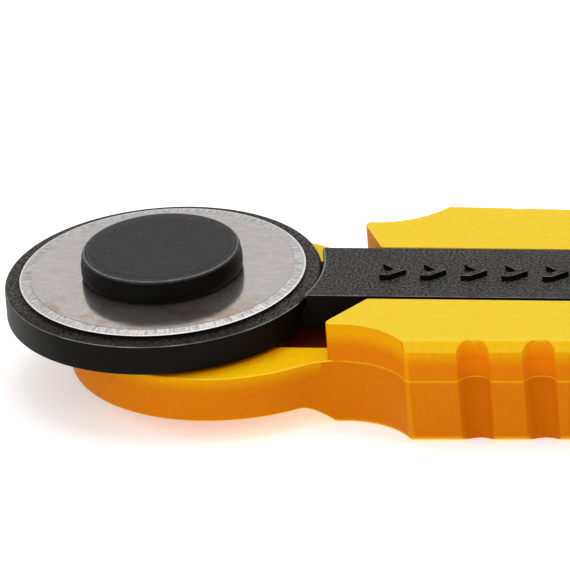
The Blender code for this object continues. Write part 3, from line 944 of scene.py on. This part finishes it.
# one rail of a level, from the channel's closed end round its front and along the side to the tail's tip
def railSide(smallIn, wideIn, smallZ, wideZ, shift):
    channelHalf = handle["railInner"][1]
    end = handle["channelEnd"] - channelHalf
    innerFront = Vector((handle["railInner"][0] + shift[1], channelHalf))
    slant = (Vector((handle["railFront"][0] + shift[0], handle["railFront"][1])) - innerFront).normalized()
    onSlant = innerFront + Vector((slant.y, -slant.x)) * smallIn
    draftSmall = handle["draft"] * (smallZ - handle["headTop"])
    draftWide = handle["draft"] * (wideZ - handle["headTop"])
    innerY = channelHalf + smallIn
    innerX = onSlant.x + slant.x * (innerY - onSlant.y) / slant.y
    outerY = handle["waistHalf"] - smallIn - draftSmall
    outerX = onSlant.x + slant.x * (outerY - onSlant.y) / slant.y
    bend = arcPoints((end, 0.0), channelHalf + smallIn, 0, 90, 14)
    half = bend + linePoints(bend[-1], (innerX + 1.0, innerY), 3.0)[1:]
    half.append((innerX, innerY, max(0.08, 0.3 - smallIn)))
    half.append((outerX, outerY, max(0.2, handle["railFrontRadius"] - smallIn)))
    half += pressGrooves(gripSide(smallIn + draftSmall, wideIn + draftWide), wideIn + draftWide, wideZ)

    def heightAt(x, y):
        if y < channelHalf + 0.6 and x < handle["channelEnd"] + 0.6:
            return smallZ
        if x > handle["corner"][0] + 0.05:
            return wideZ
        sideY = handle["corner"][1] - sideTaper * (x - handle["corner"][0]) - draftWide
        return min(smallZ, gripTop + stripHeight(sideY - y))

    points = []
    for index, point in enumerate(half):
        if len(point) == 2:
            points.append((*point, heightAt(*point)))
            continue
        corner = roundCorner(half[index - 1][:2], point[:2], half[index + 1][:2], point[2])
        flat = wideZ if point[1] > 13 else smallZ
        points += [(x, y, flat) for x, y in corner]
    return points


# both rails, the grip above the parting line and the tail, around the open channel
def upperBody():
    small = handle["smallEdge"]
    ledge = handle["headTop"] - 0.04
    levels = [(0.35, 0.35, ledge - 0.11, ledge - 0.11), (0.35, 0.35, ledge, ledge)]
    levels += [(0.0, 0.0, z, z) for z in (ledge, -3.0, -2.2, -1.5)]
    strip = chamferLevels()
    for (across, height), (away, drop) in zip(strip, quarterTurn(len(strip) - 1)):
        levels.append((small * away, across, gripTop - small * drop, gripTop + height))
    rings = []
    for level in levels:
        near = [(x, -y, z) for x, y, z in railSide(*level, (0.0, 0.0))]
        far = railSide(*level, handle["farShift"])
        rings.append(near + far[-2:0:-1])
    return stackRings("upper_shape", rings)


# a bore whose two mouths flare out
def holeCutter(name, radius, centre, low, high, flare):
    turn = quarterTurn(5)
    section = [(0.0, low - 1.0), (radius + flare, low - 1.0), (radius + flare, low)]
    section += [(radius + flare * outward, low + flare * rise) for rise, outward in turn[1:]]
    section += [(radius + flare * outward, high - flare * drop) for drop, outward in turn[::-1]]
    section += [(radius + flare, high + 1.0), (0.0, high + 1.0)]
    return turnedSolid(name, section, 64, centre)


# the recess in the head that carries on as a wider slot below the rails, and the rim at its front
def recessCutters():
    start, half = handle["recessStart"], handle["recessHalf"]
    floor, top = handle["recessFloor"], handle["headTop"]
    end = handle["channelEnd"] - handle["railInner"][1]
    slotOutline = [(start, -half, 0.5), (end, -half), (end, half), (start, half, 0.5)]
    slot = roundedPrism("recess_cutter", slotOutline, floor, top + 0.02, 0.25)
    rimEnd = handle["railFront"][0] + 0.1
    rimOutline = [(start, -half, 0.5), (rimEnd, -half), (rimEnd, half), (start, half, 0.5)]
    directions = insetDirections(rimOutline)
    levels = ((0.0, top - 0.13), (-0.03, top - 0.06), (-0.1, top), (-0.1, top + 0.5))
    rim = stackRings("rim_cutter", [ringAt(rimOutline, directions, inward, z) for inward, z in levels])
    endRadius = handle["railInner"][1] - 0.02
    endSection = [(0.0, floor), (endRadius, floor), (endRadius, top + 0.4), (0.0, top + 0.4)]
    return slot, rim, turnedSolid("slot_end_cutter", endSection, 48, (end, 0.0))


def boreCutter(name, radius, low, high, steps, centre=(0.0, 0.0)):
    return turnedSolid(name, [(0.0, low), (radius, low), (radius, high), (0.0, high)], steps, centre)


def makeHandle():
    body = lowerBody()
    addTo(body, upperBody())
    cutFrom(body, *recessCutters())
    mouth, radius = handle["headBottom"], handle["pocketRadius"]
    pocket = turnedSolid("pocket_cutter", [
        (0.0, underside - 1.0), (radius + 0.4, underside - 1.0), (radius + 0.4, mouth),
        (radius + 0.1, mouth + 0.1), (radius, mouth + 0.35), (radius, handle["pocketTop"]),
        (0.0, handle["pocketTop"])], 96)
    boltHole = boreCutter("bolt_hole_cutter", handle["boltHoleRadius"], -9.0, -3.0, 48)
    rivetHole = boreCutter("rivet_hole_cutter", handle["rivetHoleRadius"], -9.0, -5.0, 32,
                           (handle["rivetX"], 0.0))
    hangCentre = (tailX - handle["hangHoleFromTail"], 0.0)
    hangHole = holeCutter("hang_hole_cutter", handle["hangHoleRadius"], hangCentre, underside, gripTop,
                          handle["hangHoleFlare"])
    cutFrom(body, pocket, boltHole, rivetHole, hangHole)
    settleShading(body)
    fitPiece(body, yellow, "handle", "yellow_plastic", "handle_body")


makeHandle()
print("handle made")


def armOutline():
    reach = math.degrees(math.asin(guard["armHalf"] / guard["armFrontRadius"]))
    front = arcPoints((0.0, 0.0), guard["armFrontRadius"], reach, -reach, 20)
    back = arcPoints((armEnd - guard["armHalf"], 0.0), guard["armHalf"], -90, 90, 28)
    outline = [(*front[0], 0.4)] + front[1:-1] + [(*front[-1], 0.3)]
    outline += linePoints(front[-1], back[0], 4.0)[1:-1]
    return outline + back + linePoints(back[-1], front[0], 4.0)[1:-1]


def discSection(outer, top, bottom, edge):
    turn = quarterTurn(5)
    section = [(0.0, bottom), (outer - edge, bottom)]
    section += [(outer - edge * inward, bottom + edge * rise) for rise, inward in turn[1:]]
    section += [(outer - edge * inward, top - edge * drop) for inward, drop in turn]
    return section + [(0.0, top)]


def thumbPad():
    start, end = guard["padStart"], guard["padEnd"]
    pitch = (end - start) / guard["padRidges"]
    base = guard["armTop"]
    section = [(start - 0.4, base - 0.8), (end + 1.6, base - 0.8), (end + 1.5, base + 0.3)]
    section += [(end + 1.0, base + guard["padRise"] - 0.5), (end + 0.5, base + guard["padRise"])]
    for ridge in range(guard["padRidges"] - 1, -1, -1):
        x = start + ridge * pitch
        height = base + guard["padRise"] * (0.3 + 0.7 * ridge / (guard["padRidges"] - 1))
        for step in range(9):
            share = 1 - step / 8
            bulge = 0.45 * math.sin(math.pi * share) ** 0.6
            section.append((x + pitch * (0.15 + 0.8 * share), height - 0.45 + bulge))
    section.append((start - 0.3, base + 0.05))
    return alongY("thumb_pad_shape", section, guard["armHalf"] - 0.15, 0.08)


def chevron(name, x):
    back, stroke, half, middle = guard["markBack"], guard["markStroke"], guard["markHalf"], guard["markY"]
    outline = [(x, middle - half, 0.14), (x + stroke, middle - half, 0.14),
               (x + stroke + back, middle, 0.14), (x + stroke, middle + half, 0.14),
               (x, middle + half, 0.14), (x + back, middle)]
    top = guard["armTop"]
    return roundedPrism(name, outline, top - 0.4, top + guard["markRise"], highRadius=0.1, steps=4)


# the arm's feet, which hold it down in the slot below the rails
def lugs():
    made = []
    bottom = guard["lugBottom"]
    for start in guard["lugStarts"]:
        end = start + guard["lugLength"]
        for side in (-1, 1):
            low, high = sorted((side * guard["lugInner"], side * guard["armHalf"]))
            outline = [(start, low), (end, low), (end, high), (start, high)]
            made.append(roundedPrism("lug_leg", outline, bottom, guard["bottom"] + 1.0, 0.15, steps=3))
            low, high = sorted((side * guard["lugInner"], side * guard["lugReach"]))
            outline = [(start + 0.01, low + 0.01), (end - 0.01, low + 0.01), (end - 0.01, high),
                       (start + 0.01, high)]
            made.append(roundedPrism("lug_foot", outline, bottom + 0.01, guard["lugTop"], 0.2, 0.2, 3))
    return made


def makeGuard():
    top, low = guard["top"], guard["bottom"]
    body = turnedSolid("guard_slider_visual", discSection(guardRadius, top, low, guard["edge"]), 192)
    half = guard["armHalf"] - 0.03
    neckOutline = [(9.0, -half), (20.0, -half), (20.0, half), (9.0, half)]
    neck = roundedPrism("neck_shape", neckOutline, low + 0.1, guard["neckTop"])
    arm = roundedPrism("arm_shape", armOutline(), low + 0.1, guard["armTop"], 0.2, guard["armEdge"], 4)
    addTo(body, neck, arm, thumbPad())
    for index in range(guard["markCount"]):
        addTo(body, chevron(f"mark_{index}", guard["markFirst"] + index * guard["markPitch"]))
    addTo(body, *lugs())
    room = guard["bushRoom"]
    slotOutline = arcPoints((-guard["travel"], 0.0), room, 90, 270, 24)
    slotOutline += arcPoints((0.0, 0.0), room, -90, 90, 24)
    cutFrom(body, roundedPrism("slot_cutter", slotOutline, -4.5, 0.5))
    settleShading(body)
    fitPiece(body, black, "guard", "black_plastic", "guard_slider")


makeGuard()
print("guard made")


def makeBlade():
    half = bladeHalfThick
    bevel = bladeLook["bevelWidth"]
    hole = bladeLook["hole"]
    section = [
        (hole, -half + 0.03), (hole + 0.03, -half), (bladeRadius - bevel, -half),
        (bladeRadius - 0.02, -0.02), (bladeRadius, 0.0), (bladeRadius - 0.02, 0.02),
        (bladeRadius - bevel, half), (hole + 0.03, half), (hole, half - 0.03),
    ]
    blade = turnedRing("blade_visual", section, 288, 4)
    fitPiece(blade, bladeMetal, "blade", "blade_steel", "blade")


cap = dict(
    topEdge=0.5,
    bottomEdge=0.25,
    shoulderIn=0.12,
    shoulderZ=1.5,
    hollowRadius=5.8,
    topThick=0.8,
)


def makeCap():
    edge, lowEdge = cap["topEdge"], cap["bottomEdge"]
    shoulder = capRadius - cap["shoulderIn"]
    inside, roof = cap["hollowRadius"], capTop - cap["topThick"]
    section = [(0.0, roof), (inside, roof), (inside, capBottom), (capRadius - lowEdge, capBottom)]
    section += [(capRadius - lowEdge * inward, capBottom + lowEdge * rise)
                for rise, inward in quarterTurn(4)[1:]]
    section += [(capRadius, cap["shoulderZ"]), (capRadius - 0.04, cap["shoulderZ"] + 0.07)]
    section += [(shoulder - edge * inward, capTop - edge * drop) for inward, drop in quarterTurn(6)]
    rim = shoulder - edge - 0.12
    section += [(rim, capTop), (rim - 0.05, capTop - 0.04), (rim - 0.12, capTop - 0.04)]
    section += [(rim - 0.18, capTop - 0.01), (rim - 1.0, capTop - 0.01), (0.0, capTop - 0.03)]
    piece = turnedSolid("bolt_cap_visual", section, 160)
    settleShading(piece, 50)
    fitPiece(piece, capBlack, "handle", "cap_plastic", "bolt_cap")


makeBlade()
makeCap()

# the pieces whose made shape is already right only take their finish
for nodeName, finish in (
    ("blade_bush", brightMetal), ("pivot_bolt", brightMetal), ("wave_washer", springMetal),
    ("plate_washer", brightMetal), ("nut_knob", capBlack), ("nut_insert", brassMetal),
    ("detent_spring", springMetal), ("detent_rivet", brightMetal),
):
    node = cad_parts[nodeName]
    node.data.materials.clear()
    node.data.materials.append(finish)
print("blade, cap and small pieces made")


studio = dict(
    floor=(0.86, 0.86, 0.86),
    floorGlow=0.38,      # thins the shadow that the object throws
    world=0.72,
    overhead=dict(energy=1.0, size=0.5, place=(60.0, 120.0, 420.0), aim=(20.0, 0.0, 0.0)),
    front=dict(energy=0.55, size=0.45, place=(-260.0, -420.0, 240.0), aim=(20.0, 0.0, 0.0)),
)


def makeFloor():
    size = 3.0
    mesh = bpy.data.meshes.new("floor")
    corners = [(-size, -size, 0), (size, -size, 0), (size, size, 0), (-size, size, 0)]
    mesh.from_pydata(corners, [], [(0, 1, 2, 3)])
    floor = newObject("floor", mesh)
    floor.location.z = handleLow[2] - 0.05 * mm
    material, tree, shader = newFinish("paleFloor")
    feed(tree, shader, {
        "Base Color": studio["floor"],
        "Roughness": 0.9,
        "Emission Color": (1.0, 1.0, 1.0),
        "Emission Strength": studio["floorGlow"],
        "Specular IOR Level": 0.1,
    })
    floor.data.materials.append(material)


def makeLight(name, energy, size, place, aim):
    light = bpy.data.lights.new(name, "AREA")
    light.energy = energy
    light.shape = "DISK"
    light.size = size
    lamp = newObject(name, light)
    lamp.location = bench(*place)
    lamp.rotation_euler = (Vector(bench(*aim)) - lamp.location).to_track_quat("-Z", "Y").to_euler()


def makeWorld():
    world = bpy.data.worlds.new("studio")
    world.use_nodes = True
    tree = world.node_tree
    feed(tree, tree.nodes["Background"], {"Color": (1.0, 1.0, 1.0), "Strength": studio["world"]})
    bpy.context.scene.world = world


camera = dict(place=(213.83, -959.60, 478.79), heading=-11.876, down=26.087, roll=-4.651, lens=708.6)


def makeCamera():
    heading, down, roll = (math.radians(camera[key]) for key in ("heading", "down", "roll"))
    level = math.cos(down)
    forward = Vector((math.sin(heading) * level, math.cos(heading) * level, -math.sin(down)))
    right = Vector((math.cos(heading), -math.sin(heading), 0.0))
    up = right.cross(forward)
    rolledRight = right * math.cos(roll) + up * math.sin(roll)
    rolledUp = up * math.cos(roll) - right * math.sin(roll)
    lens = bpy.data.cameras.new("camera")
    lens.lens = camera["lens"]
    lens.sensor_width = 36.0
    lens.clip_start = 0.01
    lens.clip_end = 20.0
    view = newObject("camera", lens)
    turn = Matrix((rolledRight, rolledUp, -forward)).transposed()
    view.matrix_world = Matrix.Translation(bench(*camera["place"])) @ turn.to_4x4()
    bpy.context.scene.camera = view


makeFloor()
makeLight("overhead", **studio["overhead"])
makeLight("front", **studio["front"])
makeWorld()
makeCamera()
bpy.context.scene.view_settings.view_transform = "Standard"
print("studio made")
